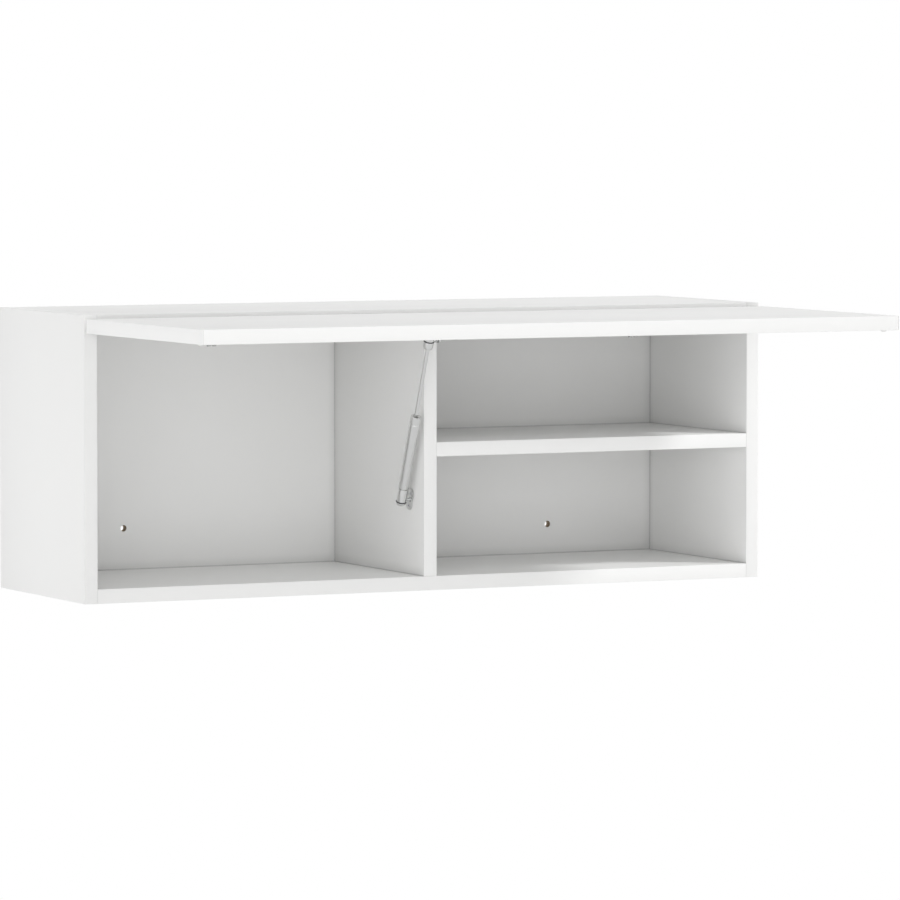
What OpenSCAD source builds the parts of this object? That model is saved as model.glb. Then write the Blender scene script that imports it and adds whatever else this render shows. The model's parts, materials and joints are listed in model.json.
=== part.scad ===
// Lift-up wall cabinet: a carcass with an upright divider and one shelf,
// closed by a full-width flap that lifts on two link hinges and one gas strut.
// Origin: middle of the rear face, where the cabinet meets the wall.
// +X to the right, +Y into the wall, +Z up. Millimetres. Drawn with the flap open.

/* [Carcass] */
// Overall width of the cabinet
cab_w = 1000; // [900:10:1200]
// Overall height of the carcass
cab_h = 377; // [360:1:430]
// Depth of the carcass, from the wall to its front edges
cab_d = 293; // [260:1:380]
// Thickness of the two side panels
side_t = 18; // [16:0.5:22]
// Thickness of the top and bottom panels
panel_t = 19; // [18:0.5:22]
// Thickness of the upright divider
divider_t = 19; // [18:0.5:22]
// Distance of the divider from the middle of the cabinet
divider_x = 0; // [-60:5:60]
// Thickness of the shelf
shelf_t = 19; // [18:0.5:22]
// Height of the shelf's underside above the cabinet's underside
shelf_up = 179; // [130:1:220]
// Thickness of the back panel
back_t = 12; // [10:0.5:14]
// How far the back panel reaches into the rebate of the other panels
rebate = 9; // [6:0.5:10]
// Thickness of the glued edge strips
band_t = 1; // [0.4:0.1:2]
// Play around the back panel in its rebate
back_play = 0.3; // [0.1:0.05:0.6]

/* [Panel fittings] */
// Distance of the front connecting bolt from the front edge
bolt_front = 50; // [40:1:70]
// Distance of the rear connecting bolt from the rear edge
bolt_rear = 63; // [50:1:80]
// Distance from each connecting bolt to the dowel beside it
dowel_offset = 32; // [24:1:40]
// Diameter of the dowels
dowel_d = 8; // [6:0.5:8]
// Length of the dowels
dowel_len = 30; // [26:1:34]
// Depth of each dowel in the panel that the board butts against
dowel_set = 10; // [8:0.5:12]
// Diameter of the cam locks
cam_d = 15; // [14:0.5:16]
// Height of the cam locks
cam_h = 12.4; // [12:0.1:13]
// Distance of a cam's centre from the end of its board
cam_reach = 34; // [30:1:36]
// Diameter of a connecting bolt's shank
bolt_d = 6; // [5:0.5:6.5]
// Diameter of a connecting bolt's thread
bolt_thread_d = 5; // [4.5:0.1:5.5]
// Length of a connecting bolt's thread
bolt_thread_len = 10.5; // [9:0.5:11]
// Diameter of the screws that hold the back panel
back_screw_d = 3.5; // [3:0.1:4]
// Length of the screws that hold the back panel
back_screw_len = 25; // [20:1:28]

/* [Wall fixing holes] */
// Diameter of the holes through the back panel
wall_hole_d = 8.8; // [6:0.2:10]
// Distance of the left lower hole from the cabinet's left side
wall_hole_left_x = 174.5; // [120:0.5:240]
// Height of the left lower hole above the cabinet's underside
wall_hole_left_z = 75; // [50:1:110]
// Distance of the right lower hole from the cabinet's right side
wall_hole_right_x = 180.5; // [120:0.5:240]
// Height of the right lower hole above the cabinet's underside
wall_hole_right_z = 60; // [45:1:110]
// Distance of the two upper holes from the cabinet's sides
wall_hole_upper_x = 90; // [70:1:110]
// Distance of the two upper holes below the cabinet's top
wall_hole_upper_z = 49; // [45:1:80]

/* [Flap] */
// Length of the flap, from its hinge edge to its free edge
flap_h = 373; // [360:1:426]
// Thickness of the flap
flap_t = 19; // [18:0.5:22]
// How far the flap stops short of each side of the carcass
flap_side_gap = 0; // [0:0.5:3]
// Gap between the closed flap and the carcass
flap_gap = 3; // [2.8:0.1:3.6]
// How far the closed flap's upper edge lies below the carcass top
flap_reveal = 2; // [1:0.25:3]
// How far the open flap's upper face lies below the carcass top
flap_drop = 4.75; // [4:0.25:5.5]
// Gap between the open flap's hinge edge and the carcass front
flap_setback = 8; // [7.5:0.25:9]
// Diameter of the soft pads that the closed flap rests on
pad_d = 8; // [6:0.5:10]
// Thickness of the soft pads
pad_t = 2.5; // [1.5:0.1:2.7]

/* [Hinges] */
// Distance of each hinge's middle from the cabinet's side
hinge_x = 187; // [120:1:240]
// Diameter of the hinge cups
cup_d = 35; // [34:0.5:36]
// Depth of the hinge cups in the flap
cup_depth = 12; // [11.5:0.1:12.8]
// Distance of a cup's centre from the flap's hinge edge
cup_edge = 21.5; // [21:0.25:22]
// Wall thickness of the cups
cup_wall = 0.9; // [0.7:0.1:1]
// Thickness of the flange around a cup
flange_t = 1.2; // [1:0.1:1.4]
// Distance of the cup pin from the flap's hinge edge
cup_pin_edge = 13.1; // [12.9:0.1:13.4]
// Depth of the cup pin below the flap's inner face
cup_pin_depth = 4; // [3.8:0.1:4.2]
// Distance of the arm pin from the pole of the flap's quarter turn
arm_pin_reach = 27.4; // [27:0.1:28]
// Diameter of the hinge pins
hinge_pin_d = 3; // [2.6:0.1:3]
// Radius of the link's eyes and of the arm's nose
eye_r = 2.5; // [2.2:0.1:2.6]
// Half the width of the link between its eyes
link_half_w = 1.8; // [1.5:0.1:1.9]
// Thickness of each cheek of the link
link_t = 1.3; // [1:0.1:1.4]
// Width of the arm's nose between the link's cheeks
nose_w = 6; // [5:0.5:6]
// Running play beside and inside the link
link_play = 0.3; // [0.2:0.05:0.4]
// Outer width of the hinge arm
arm_w = 12; // [11.5:0.5:14]
// Length of the hinge arm behind the carcass front
arm_len = 62; // [56:1:70]
// How far the hinge arm hangs below the top panel
arm_drop = 24.4; // [24:0.1:25]
// Sheet thickness of the hinge arm
arm_t = 1.2; // [1:0.1:1.5]
// Height of the mounting plate's rail below the top panel
rail_h = 20; // [18:0.5:22]

/* [Gas strut] */
// Distance of the lower ball behind the carcass front
low_ball_y = 40.6; // [30:0.2:60]
// Height of the lower ball above the cabinet's underside
low_ball_z = 119.8; // [110:0.2:130]
// Distance of the upper ball from the flap's hinge edge
top_ball_edge = 36.6; // [32:0.2:40]
// Distance of the upper ball from the flap's inner face
top_ball_out = 15.55; // [15:0.05:18]
// Distance of the strut's middle from the divider's face
strut_out = 13.75; // [12.5:0.25:15]
// Outer diameter of the strut's tube
tube_d = 13.8; // [13.8:0.1:15]
// Wall thickness of the tube
tube_wall = 0.5; // [0.4:0.05:0.5]
// Distance from the lower ball to the start of the tube
tube_start = 17; // [15:0.5:18]
// Distance from the lower ball to the mouth of the tube
tube_end = 122.5; // [116:0.1:128]
// Diameter of the rod
rod_d = 5; // [4.5:0.5:5]
// Length of rod inside the tube while the flap is open
rod_inside = 26; // [20:1:40]
// Diameter of the balls
ball_d = 10; // [8:0.5:10]
// Diameter of the studs that carry the balls
stud_d = 4; // [3.5:0.5:5]
// Thickness of the two bracket plates
bracket_t = 2; // [1.5:0.1:2.5]

/* [Hidden] */

$fn = 48;
eps = 0.02;                 // overrun of a cut past a face
fit = 0.1;                  // radial play of a fitting in its hole

// Planes of the carcass
left_x = -cab_w / 2;
right_x = cab_w / 2;
low_z = -cab_h / 2;
top_z = cab_h / 2;
front_y = -cab_d;
in_left = left_x + side_t;
in_right = right_x - side_t;
floor_z = low_z + panel_t;
ceil_z = top_z - panel_t;
back_y = -back_t;
div_left = divider_x - divider_t / 2;
div_right = divider_x + divider_t / 2;
shelf_z = low_z + shelf_up;

// Places of the panel fittings, measured along Y
bolt_ys = [front_y + bolt_front, -bolt_rear];
dowel_ys = [front_y + bolt_front + dowel_offset, -bolt_rear - dowel_offset];
cam_sink = 0.3;             // cam below the board's face
cam_bore_h = cam_h + cam_sink + 0.2;
cam_pocket_d = bolt_d + 2;
end_bore_d = bolt_d + 1.6;
bolt_head_len = 4;
bolt_head_d = bolt_d + 1;

// A board's end: [point on the joint plane, kind], where kind is
// 0 left end, 1 right end, 2 lower end, 3 upper end. The point is in the board's middle plane.
bottom_ends = [[[in_left, 0, low_z + panel_t / 2], 0], [[in_right, 0, low_z + panel_t / 2], 1]];
top_ends = [[[in_left, 0, top_z - panel_t / 2], 0], [[in_right, 0, top_z - panel_t / 2], 1]];
shelf_ends = [[[div_right, 0, shelf_z + shelf_t / 2], 0], [[in_right, 0, shelf_z + shelf_t / 2], 1]];
divider_ends = [[[divider_x, 0, floor_z], 2], [[divider_x, 0, ceil_z], 3]];

// Screws through the back panel, as [x, z]
side_screw_x = rebate / 2;
end_screw_z = 40;           // outer screws from the cabinet's top and bottom
shelf_screw_x = 120;        // shelf screws from the shelf's ends
back_screws_at = [
    for (z = [low_z + end_screw_z, 0, top_z - end_screw_z],
         x = [in_left - side_screw_x, in_right + side_screw_x]) [x, z],
    for (x = [(in_left + div_left) / 2, (in_right + div_right) / 2],
         z = [floor_z - side_screw_x, ceil_z + side_screw_x]) [x, z],
    for (z = [(floor_z + shelf_z) / 2, (ceil_z + shelf_z + shelf_t) / 2]) [divider_x, z],
    for (x = [div_right + shelf_screw_x, in_right - shelf_screw_x]) [x, shelf_z + shelf_t / 2]
];

// Holes through the back panel for fixing the cabinet to the wall, as [x, z]
wall_holes = [
    [left_x + wall_hole_left_x, low_z + wall_hole_left_z],
    [right_x - wall_hole_right_x, low_z + wall_hole_right_z],
    [left_x + wall_hole_upper_x, top_z - wall_hole_upper_z],
    [right_x - wall_hole_upper_x, top_z - wall_hole_upper_z]
];

// Open flap: its hinge edge, and its inner face, which looks down
flap_w = cab_w - 2 * flap_side_gap;
flap_edge_y = front_y - flap_setback;
flap_in_z = top_z - flap_drop - flap_t;

// Hinge geometry in the YZ plane. The flap turns a quarter turn between open and closed.
pin_open = [flap_edge_y - cup_pin_edge, flap_in_z + cup_pin_depth];
pin_closed = [front_y - flap_gap - cup_pin_depth, top_z - flap_reveal - cup_pin_edge];
pole = [(pin_closed[0] + pin_open[1] - pin_closed[1] + pin_open[0]) / 2,
        (pin_closed[0] + pin_open[1] + pin_closed[1] - pin_open[0]) / 2];
to_mid = (pin_open + pin_closed) / 2 - pole;
arm_pin = pole + to_mid * (arm_pin_reach / norm(to_mid));
hinge_xs = [left_x + hinge_x, right_x - hinge_x];
cup_hole_d = cup_d + 2 * fit;
cup_in_r = cup_d / 2 - cup_wall;
cheek_in = nose_w / 2 + link_play;
cheek_out = cheek_in + link_t;
arm_pin_len = 2 * cheek_out + 1;
lug_in = cheek_out + 0.4;
lug_t = 2;
lug_half_w = 3;
cup_pin_len = 2 * (lug_in + lug_t);
flange_w = 62;
flange_h = 18;
flange_r = 4;
cup_screw_x = 24;
cup_screw_y = cup_edge + 5;
cup_screw_d = 3.5;
cup_screw_len = 13;
arm_front = front_y + 12;
arm_low = ceil_z - arm_drop;
arm_ear_w = 4.2;            // two ears turned down at the arm's front
arm_ear_len = 4;
arm_ear_drop = 1.3;
arm_wall_top = ceil_z - 8;
rail_w = arm_w - 2 * arm_t - 0.4;
rail_front = front_y + 20;
rail_len = 46;
wing_w = 46;
wing_d = 22;
wing_t = 2.2;
wing_y = rail_front + rail_len / 2 - wing_d / 2;
plate_screw_x = 16;
plate_screw_d = 4;
plate_screw_len = 15;
arm_screw_d = 4;
arm_screw_head_d = 7.4;
arm_screw_inset = 11;       // arm screws from the ends of the rail
arm_screw_ys = [rail_front + arm_screw_inset, rail_front + rail_len - arm_screw_inset];

// Gas strut: the lower ball stands on the divider, the upper one on the flap
strut_x = div_left - strut_out;
low_ball = [front_y + low_ball_y, low_z + low_ball_z];
top_ball = [flap_edge_y - top_ball_edge, flap_in_z - top_ball_out];
strut_vec = top_ball - low_ball;
strut_len = norm(strut_vec);
strut_lean = atan2(-strut_vec[0], strut_vec[1]);
guide_len = 11;
guide_sink = 0.6;           // guide ring below the tube's mouth
guide_slot_w = rod_d + 0.8;
guide_slot_len = rod_d + 7;  // leaves room for the rod to lean
groove_w = 1.2;
groove_depth = 0.3;
tube_floor = 2;
rod_in_socket = 6;
piston_len = 5;
socket_d = tube_d - 0.8;
socket_neck_d = socket_d - 3;
socket_neck_len = 1.2;
socket_back = 8;            // socket beyond the ball's centre
socket_cone = 3;
upper_socket_len = 13.6;    // socket from the ball's centre towards the rod
clip_t = 1.6;
clip_depth = 0.8;
lower_clip_at = -3;         // clips from the ball's centre, towards the strut's middle
upper_clip_at = 2.3;
ball_play = 0.2;
stud_hole_d = stud_d + 1.6;
low_plate_w = 15;
low_plate_h = 29;
low_plate_waist = 12;
bracket_screw_d = 3.5;
bracket_screw_len = 14;
low_screw_at = 9;           // screws from the lower ball, along the plate
stud_collar_t = 1.2;
stud_collar_w = 1.5;
ear_gap = 1;                // ear to the divider's face when the flap is shut
ear_x = div_left - ear_gap;
ear_half_w = 8.5;
ear_low = 4.2;              // ear beyond the ball's centre
base_w = 30;
base_len = 46;
base_screw_y = 17;
base_screw_x = 20;

// ---------------------------------------------------------------- helpers

// A box between two corners
module block(lo, hi) {
    translate(lo) cube(hi - lo);
}

// A flat shape drawn as [y, z], given a width along X about x = 0
module across(w) {
    rotate([90, 0, 90]) linear_extrude(height = w, center = true) children();
}

// A cylinder along +Y from the origin
module rod_y(r, len) {
    rotate([-90, 0, 0]) cylinder(r = r, h = len);
}

// A cylinder along +X from the origin
module rod_x(r, len) {
    rotate([0, 90, 0]) cylinder(r = r, h = len);
}

// Children in the frame of a board's end: +X into the board, -Z towards its cams
module at_end(end) {
    translate(end[0])
        if (end[1] == 0) children();
        else if (end[1] == 1) mirror([1, 0, 0]) children();
        else if (end[1] == 2) rotate([0, -90, 0]) children();
        else mirror([0, 0, 1]) rotate([0, -90, 0]) children();
}

// Children in the flap's frame: +Y from the hinge edge towards the free edge,
// +Z away from the inner face, -Z into the flap
module on_flap() {
    translate([0, flap_edge_y, flap_in_z]) rotate([180, 0, 0]) children();
}

// Children in the strut's frame: lower ball at the origin, +Z towards the upper ball
module on_strut() {
    translate([strut_x, low_ball[0], low_ball[1]]) rotate([strut_lean, 0, 0]) children();
}

// A flat-headed wood screw: head flush with z = 0, thread along -Z
module wood_screw(d, len) {
    head_r = d;
    head_h = d * 0.6;
    difference() {
        union() {
            translate([0, 0, -head_h]) cylinder(r1 = d / 2, r2 = head_r, h = head_h);
            translate([0, 0, -len + d]) cylinder(r = d / 2, h = len - d - head_h + eps);
            translate([0, 0, -len]) cylinder(r1 = d * 0.1, r2 = d / 2, h = d + eps);
        }
        for (a = [0, 90]) rotate([0, 0, a])
            translate([-d * 0.6, -d * 0.11, -d * 0.35]) cube([d * 1.2, d * 0.22, d]);
    }
}

// The hole that takes a wood screw, with room for its head
module screw_hole(d, len) {
    head_h = d * 0.6;
    translate([0, 0, -len - 0.5]) cylinder(r = d / 2 + fit, h = len + 0.5);
    translate([0, 0, -head_h - fit]) cylinder(r1 = d / 2 + fit, r2 = d + 2 * fit, h = head_h + 2 * fit);
}

// ---------------------------------------------------------------- panel fittings

// Bores in a board's end: bolts, cams and dowels
module end_bores(end, board_t) {
    at_end(end) {
        for (y = bolt_ys) translate([0, y, 0]) {
            translate([-eps, 0, 0]) rod_x(end_bore_d / 2, cam_reach);
            translate([cam_reach, 0, -board_t / 2 - eps]) cylinder(d = cam_d, h = cam_bore_h + eps);
        }
        for (y = dowel_ys) translate([-eps, y, 0])
            rod_x(dowel_d / 2 + fit, dowel_len - dowel_set + 1);
    }
}

// Bores in the face that a board's end butts against
module face_bores(end) {
    at_end(end) {
        for (y = bolt_ys) translate([-bolt_thread_len - 0.3, y, 0])
            rod_x(bolt_thread_d / 2 + fit, bolt_thread_len + 0.3 + eps);
        for (y = dowel_ys) translate([-dowel_set - 0.5, y, 0])
            rod_x(dowel_d / 2 + fit, dowel_set + 0.5 + eps);
    }
}

// One cam lock, with the pocket for its bolt and a cross slot to turn it
module cam_lock(board_t) {
    slot_w = 1.4;
    slot_len = cam_d * 0.55;
    low = -board_t / 2 + cam_sink;
    translate([cam_reach, 0, 0]) difference() {
        translate([0, 0, low]) cylinder(r = cam_d / 2 - fit, h = cam_h);
        translate([-cam_d, 0, 0]) rod_x(cam_pocket_d / 2, cam_d + bolt_head_d / 2);
        for (a = [0, 90]) rotate([0, 0, a])
            translate([-slot_len / 2, -slot_w / 2, low - eps]) cube([slot_len, slot_w, 3]);
    }
}

// One connecting bolt: thread in the panel, shank and head in the board
module cam_bolt() {
    translate([-bolt_thread_len, 0, 0]) rod_x(bolt_thread_d / 2, bolt_thread_len + eps);
    rod_x(bolt_d / 2, cam_reach - bolt_head_len + eps);
    translate([cam_reach - bolt_head_len, 0, 0]) rod_x(bolt_head_d / 2, bolt_head_len);
}

module back_screw_bores() {
    for (p = back_screws_at) translate([p[0], 0, p[1]])
        rotate([-90, 0, 0]) screw_hole(back_screw_d, back_screw_len);
}

module cam_locks() {
    color("gainsboro") for (end = concat(bottom_ends, top_ends, shelf_ends, divider_ends))
        at_end(end) for (y = bolt_ys) translate([0, y, 0])
            cam_lock(end[1] > 1 ? divider_t : end[0][2] == shelf_z + shelf_t / 2 ? shelf_t : panel_t);
}

module cam_bolts() {
    color("silver") for (end = concat(bottom_ends, top_ends, shelf_ends, divider_ends))
        at_end(end) for (y = bolt_ys) translate([0, y, 0]) cam_bolt();
}

module dowels() {
    color("burlywood") for (end = concat(bottom_ends, top_ends, shelf_ends, divider_ends))
        at_end(end) for (y = dowel_ys) translate([-dowel_set, y, 0]) rod_x(dowel_d / 2, dowel_len);
}

module back_screws() {
    color("silver") for (p = back_screws_at) translate([p[0], 0, p[1]])
        rotate([-90, 0, 0]) wood_screw(back_screw_d, back_screw_len);
}

// ---------------------------------------------------------------- carcass

// A side panel with its rebate for the back; the right one is its mirror image
module side_board() {
    difference() {
        block([left_x, front_y + band_t, low_z], [in_left, 0, top_z]);
        block([in_left - rebate, back_y, floor_z - rebate], [in_left + eps, eps, ceil_z + rebate]);
    }
}

module side_left() {
    color("white") difference() {
        side_board();
        face_bores(bottom_ends[0]);
        face_bores(top_ends[0]);
        back_screw_bores();
    }
}

module side_right() {
    color("white") difference() {
        mirror([1, 0, 0]) side_board();
        face_bores(bottom_ends[1]);
        face_bores(top_ends[1]);
        face_bores(shelf_ends[1]);
        back_screw_bores();
    }
}

module bottom_panel() {
    color("white") difference() {
        block([in_left, front_y + band_t, low_z], [in_right, 0, floor_z]);
        block([in_left - eps, back_y, floor_z - rebate], [in_right + eps, eps, floor_z + eps]);
        for (end = bottom_ends) end_bores(end, panel_t);
        face_bores(divider_ends[0]);
        back_screw_bores();
    }
}

module top_panel() {
    color("white") difference() {
        block([in_left, front_y + band_t, ceil_z], [in_right, 0, top_z]);
        block([in_left - eps, back_y, ceil_z - eps], [in_right + eps, eps, ceil_z + rebate]);
        for (end = top_ends) end_bores(end, panel_t);
        face_bores(divider_ends[1]);
        back_screw_bores();
        for (x = hinge_xs) translate([x, 0, 0]) plate_screw_bores();
    }
}

module divider() {
    color("white") difference() {
        block([div_left, front_y + band_t, floor_z], [div_right, back_y, ceil_z]);
        for (end = divider_ends) end_bores(end, divider_t);
        face_bores(shelf_ends[0]);
        back_screw_bores();
        at_low_screws() screw_hole(bracket_screw_d, bracket_screw_len);
    }
}

module shelf() {
    color("white") difference() {
        block([div_right, front_y + band_t, shelf_z], [in_right, back_y, shelf_z + shelf_t]);
        for (end = shelf_ends) end_bores(end, shelf_t);
        back_screw_bores();
    }
}

module back_panel() {
    reach = rebate - back_play;
    color("white") difference() {
        block([in_left - reach, back_y, floor_z - reach], [in_right + reach, 0, ceil_z + reach]);
        for (p = wall_holes) translate([p[0], back_y - 1, p[1]]) rod_y(wall_hole_d / 2, back_t + 2);
        back_screw_bores();
    }
}

// A glued strip on a board's front edge, between two corners given as [x, z]
module front_band(low, high) {
    color("whitesmoke") block([low[0], front_y, low[1]], [high[0], front_y + band_t, high[1]]);
}

module side_edge_bands() {
    front_band([left_x, low_z], [in_left, top_z]);
    front_band([in_right, low_z], [right_x, top_z]);
}

module level_edge_bands() {
    front_band([in_left, low_z], [in_right, floor_z]);
    front_band([in_left, ceil_z], [in_right, top_z]);
}

module divider_edge_band() {
    front_band([div_left, floor_z], [div_right, ceil_z]);
}

module shelf_edge_band() {
    front_band([div_right, shelf_z], [in_right, shelf_z + shelf_t]);
}

// ---------------------------------------------------------------- flap

module flap_panel() {
    color("white") on_flap() difference() {
        block([-flap_w / 2 + band_t, band_t, -flap_t], [flap_w / 2 - band_t, flap_h - band_t, 0]);
        for (x = hinge_xs) translate([x, 0, 0]) {
            translate([0, cup_edge, -cup_depth - 0.2]) cylinder(d = cup_hole_d, h = cup_depth + 1);
            at_cup_screws() screw_hole(cup_screw_d, cup_screw_len);
        }
        at_base_screws() screw_hole(bracket_screw_d, bracket_screw_len);
    }
}

module flap_side_bands() {
    color("whitesmoke") on_flap() for (x = [-flap_w / 2, flap_w / 2 - band_t])
        block([x, 0, -flap_t], [x + band_t, flap_h, 0]);
}

module flap_long_bands() {
    color("whitesmoke") on_flap() for (y = [0, flap_h - band_t])
        block([-flap_w / 2 + band_t, y, -flap_t], [flap_w / 2 - band_t, y + band_t, 0]);
}

// Soft pads near the free corners; they meet the front edges of the sides when shut
module flap_pads() {
    color("gainsboro") on_flap() for (s = [-1, 1])
        translate([s * (flap_w / 2 - side_t / 2), flap_h - 25, 0]) {
            cylinder(d = pad_d, h = pad_t * 0.6);
            translate([0, 0, pad_t * 0.6 - eps])
                cylinder(d1 = pad_d, d2 = pad_d * 0.6, h = pad_t * 0.4 + eps);
        }
}

// ---------------------------------------------------------------- hinges

// Places of the two screws of one cup flange, in the flap's frame
module at_cup_screws() {
    for (s = [-1, 1]) translate([s * cup_screw_x, cup_screw_y, flange_t]) children();
}

// The flange's outline: a rounded bar with a round collar about the cup
module flange_outline() {
    translate([0, cup_screw_y]) {
        square([flange_w - 2 * flange_r, flange_h], center = true);
        square([flange_w, flange_h - 2 * flange_r], center = true);
        for (sx = [-1, 1], sy = [-1, 1])
            translate([sx * (flange_w / 2 - flange_r), sy * (flange_h / 2 - flange_r)]) circle(r = flange_r);
    }
    translate([0, cup_edge]) circle(r = cup_d / 2 + 1.2);
}

module hinge_cup() {
    difference() {
        union() {
            linear_extrude(height = flange_t) flange_outline();
            translate([0, cup_edge, -cup_depth]) cylinder(d = cup_d, h = cup_depth + eps);
        }
        translate([0, cup_edge, -cup_depth + cup_wall]) cylinder(r = cup_in_r, h = cup_depth + flange_t);
        at_cup_screws() screw_hole(cup_screw_d, cup_screw_len);
    }
    // lugs that hold the cup pin
    difference() {
        for (s = [-1, 1]) translate([s * (lug_in + lug_t / 2), cup_pin_edge, 0])
            block([-lug_t / 2, -lug_half_w, -cup_depth + cup_wall - eps], [lug_t / 2, lug_half_w, -0.8]);
        translate([-cup_pin_len, cup_pin_edge, -cup_pin_depth])
            rod_x(hinge_pin_d / 2 + fit / 2, 2 * cup_pin_len);
    }
}

module hinge_cups() {
    color("silver") on_flap() for (x = hinge_xs) translate([x, 0, 0]) hinge_cup();
}

module hinge_cup_screws() {
    color("silver") on_flap() for (x = hinge_xs) translate([x, 0, 0])
        at_cup_screws() wood_screw(cup_screw_d, cup_screw_len);
}

module hinge_cup_pins() {
    color("dimgray") on_flap() for (x = hinge_xs)
        translate([x - cup_pin_len / 2, cup_pin_edge, -cup_pin_depth]) rod_x(hinge_pin_d / 2, cup_pin_len);
}

module hinge_arm_pins() {
    color("dimgray") for (x = hinge_xs)
        translate([x - arm_pin_len / 2, arm_pin[0], arm_pin[1]]) rod_x(hinge_pin_d / 2, arm_pin_len);
}

// The link's side view: an eye at each end and a bar between them
module link_outline() {
    v = pin_open - arm_pin;
    difference() {
        union() {
            for (p = [arm_pin, pin_open]) translate(p) circle(r = eye_r);
            translate(arm_pin) rotate(atan2(v[1], v[0]))
                translate([0, -link_half_w]) square([norm(v), 2 * link_half_w]);
        }
        for (p = [arm_pin, pin_open]) translate(p) circle(d = hinge_pin_d + fit);
    }
}

// A link: two cheeks joined by a web that clears the arm's nose and the cup pin
module hinge_link() {
    v = pin_open - arm_pin;
    web_from = eye_r + 2.5;
    web_to = norm(v) - eye_r - 1;
    for (s = [-1, 1]) translate([s * (cheek_in + link_t / 2), 0, 0]) across(link_t) link_outline();
    across(2 * cheek_in + link_t) translate(arm_pin) rotate(atan2(v[1], v[0]))
        translate([web_from, -link_half_w]) square([web_to - web_from, link_t]);
}

module hinge_links() {
    color("silver") for (x = hinge_xs) translate([x, 0, 0]) hinge_link();
}

// The arm's nose, from the arm pin back into the channel
module nose_outline() {
    difference() {
        union() {
            translate(arm_pin) circle(r = eye_r);
            polygon([
                arm_pin + [0, -eye_r], arm_pin + [0, eye_r],
                [arm_front + 8, arm_low + arm_t + 9], [arm_front + 8, arm_low + arm_t - eps],
                [arm_front, arm_low + arm_t - eps], [front_y - 0.8, arm_pin[1] - eye_r]
            ]);
        }
        translate(arm_pin) circle(d = hinge_pin_d + fit);
    }
}

module hinge_arm() {
    across(nose_w) nose_outline();
    difference() {
        translate([-arm_w / 2, arm_front, arm_low]) cube([arm_w, arm_len, arm_wall_top - arm_low]);
        translate([-arm_w / 2 + arm_t, arm_front - 1, arm_low + arm_t])
            cube([arm_w - 2 * arm_t, arm_len + 2, arm_drop]);
        for (y = arm_screw_ys) translate([0, y, arm_low - 1]) cylinder(d = arm_screw_d + 2 * fit, h = 4);
    }
    for (x = [-arm_w / 2, arm_w / 2 - arm_ear_w]) translate([x, arm_front, arm_low - arm_ear_drop])
        cube([arm_ear_w, arm_ear_len, arm_ear_drop + arm_t / 2]);
}

module hinge_arms() {
    color("silver") for (x = hinge_xs) translate([x, 0, 0]) hinge_arm();
}

// Places of the two screws of one mounting plate, heads down
module at_plate_screws() {
    for (s = [-1, 1]) translate([s * plate_screw_x, wing_y + wing_d / 2, ceil_z - wing_t])
        rotate([180, 0, 0]) children();
}

module plate_screw_bores() {
    at_plate_screws() screw_hole(plate_screw_d, plate_screw_len);
}

// A mounting plate: two wings under the top panel and the rail that carries the arm
module hinge_plate() {
    difference() {
        union() {
            translate([-wing_w / 2, wing_y, ceil_z - wing_t]) cube([wing_w, wing_d, wing_t]);
            translate([-rail_w / 2, rail_front, ceil_z - rail_h]) cube([rail_w, rail_len, rail_h]);
        }
        plate_screw_bores();
        for (y = arm_screw_ys) translate([0, y, ceil_z - rail_h - eps])
            cylinder(d = arm_screw_d + 2 * fit, h = rail_h - 6);
    }
}

module hinge_plates() {
    color("silver") for (x = hinge_xs) translate([x, 0, 0]) hinge_plate();
}

module hinge_plate_screws() {
    color("silver") for (x = hinge_xs) translate([x, 0, 0])
        at_plate_screws() wood_screw(plate_screw_d, plate_screw_len);
}

// Fixing and depth screws: pan heads under the arm, threads up into the rail
module hinge_arm_screws() {
    head_h = 2;
    thread_top = ceil_z - 8;
    color("silver") for (x = hinge_xs, y = arm_screw_ys) translate([x, y, arm_low]) difference() {
        union() {
            translate([0, 0, arm_t + fit]) cylinder(d = arm_screw_head_d, h = head_h);
            cylinder(d = arm_screw_d, h = thread_top - arm_low);
        }
        for (a = [0, 90]) rotate([0, 0, a]) translate([-1.5, -0.4, -eps]) cube([3, 0.8, 1.6]);
    }
}

// ---------------------------------------------------------------- gas strut

module strut_tube() {
    color("lightgray") on_strut() difference() {
        translate([0, 0, tube_start]) cylinder(d = tube_d, h = tube_end - tube_start);
        translate([0, 0, tube_start + tube_floor]) cylinder(d = tube_d - 2 * tube_wall, h = tube_end);
        translate([0, 0, tube_end - guide_len]) ring_groove(tube_d, groove_w, groove_depth);
    }
}

// A groove cut into a bar of diameter d, centred on z = 0
module ring_groove(d, w, depth) {
    difference() {
        cylinder(r = d, h = w, center = true);
        cylinder(r = d / 2 - depth, h = w + 1, center = true);
    }
}

// Ring inside the tube's mouth, with a slot for the rod along the way that it leans
module strut_guide_ring() {
    slot_end = (guide_slot_len - guide_slot_w) / 2;
    color("lightgray") on_strut() translate([0, 0, tube_end - guide_len]) difference() {
        cylinder(d = tube_d - 2 * tube_wall, h = guide_len - guide_sink);
        for (s = [-1, 1]) translate([0, s * slot_end, -1]) cylinder(d = guide_slot_w, h = guide_len + 2);
        translate([-guide_slot_w / 2, -slot_end, -1]) cube([guide_slot_w, 2 * slot_end, guide_len + 2]);
    }
}

module strut_rod() {
    from = tube_end - rod_inside;
    to = strut_len - upper_socket_len + rod_in_socket;
    color("silver") on_strut() translate([0, 0, from]) cylinder(d = rod_d, h = to - from);
}

// Nut that ends the rod inside the tube
module strut_piston() {
    color("dimgray") on_strut() translate([0, 0, tube_end - rod_inside - piston_len])
        cylinder(d = rod_d, h = piston_len);
}

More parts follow.
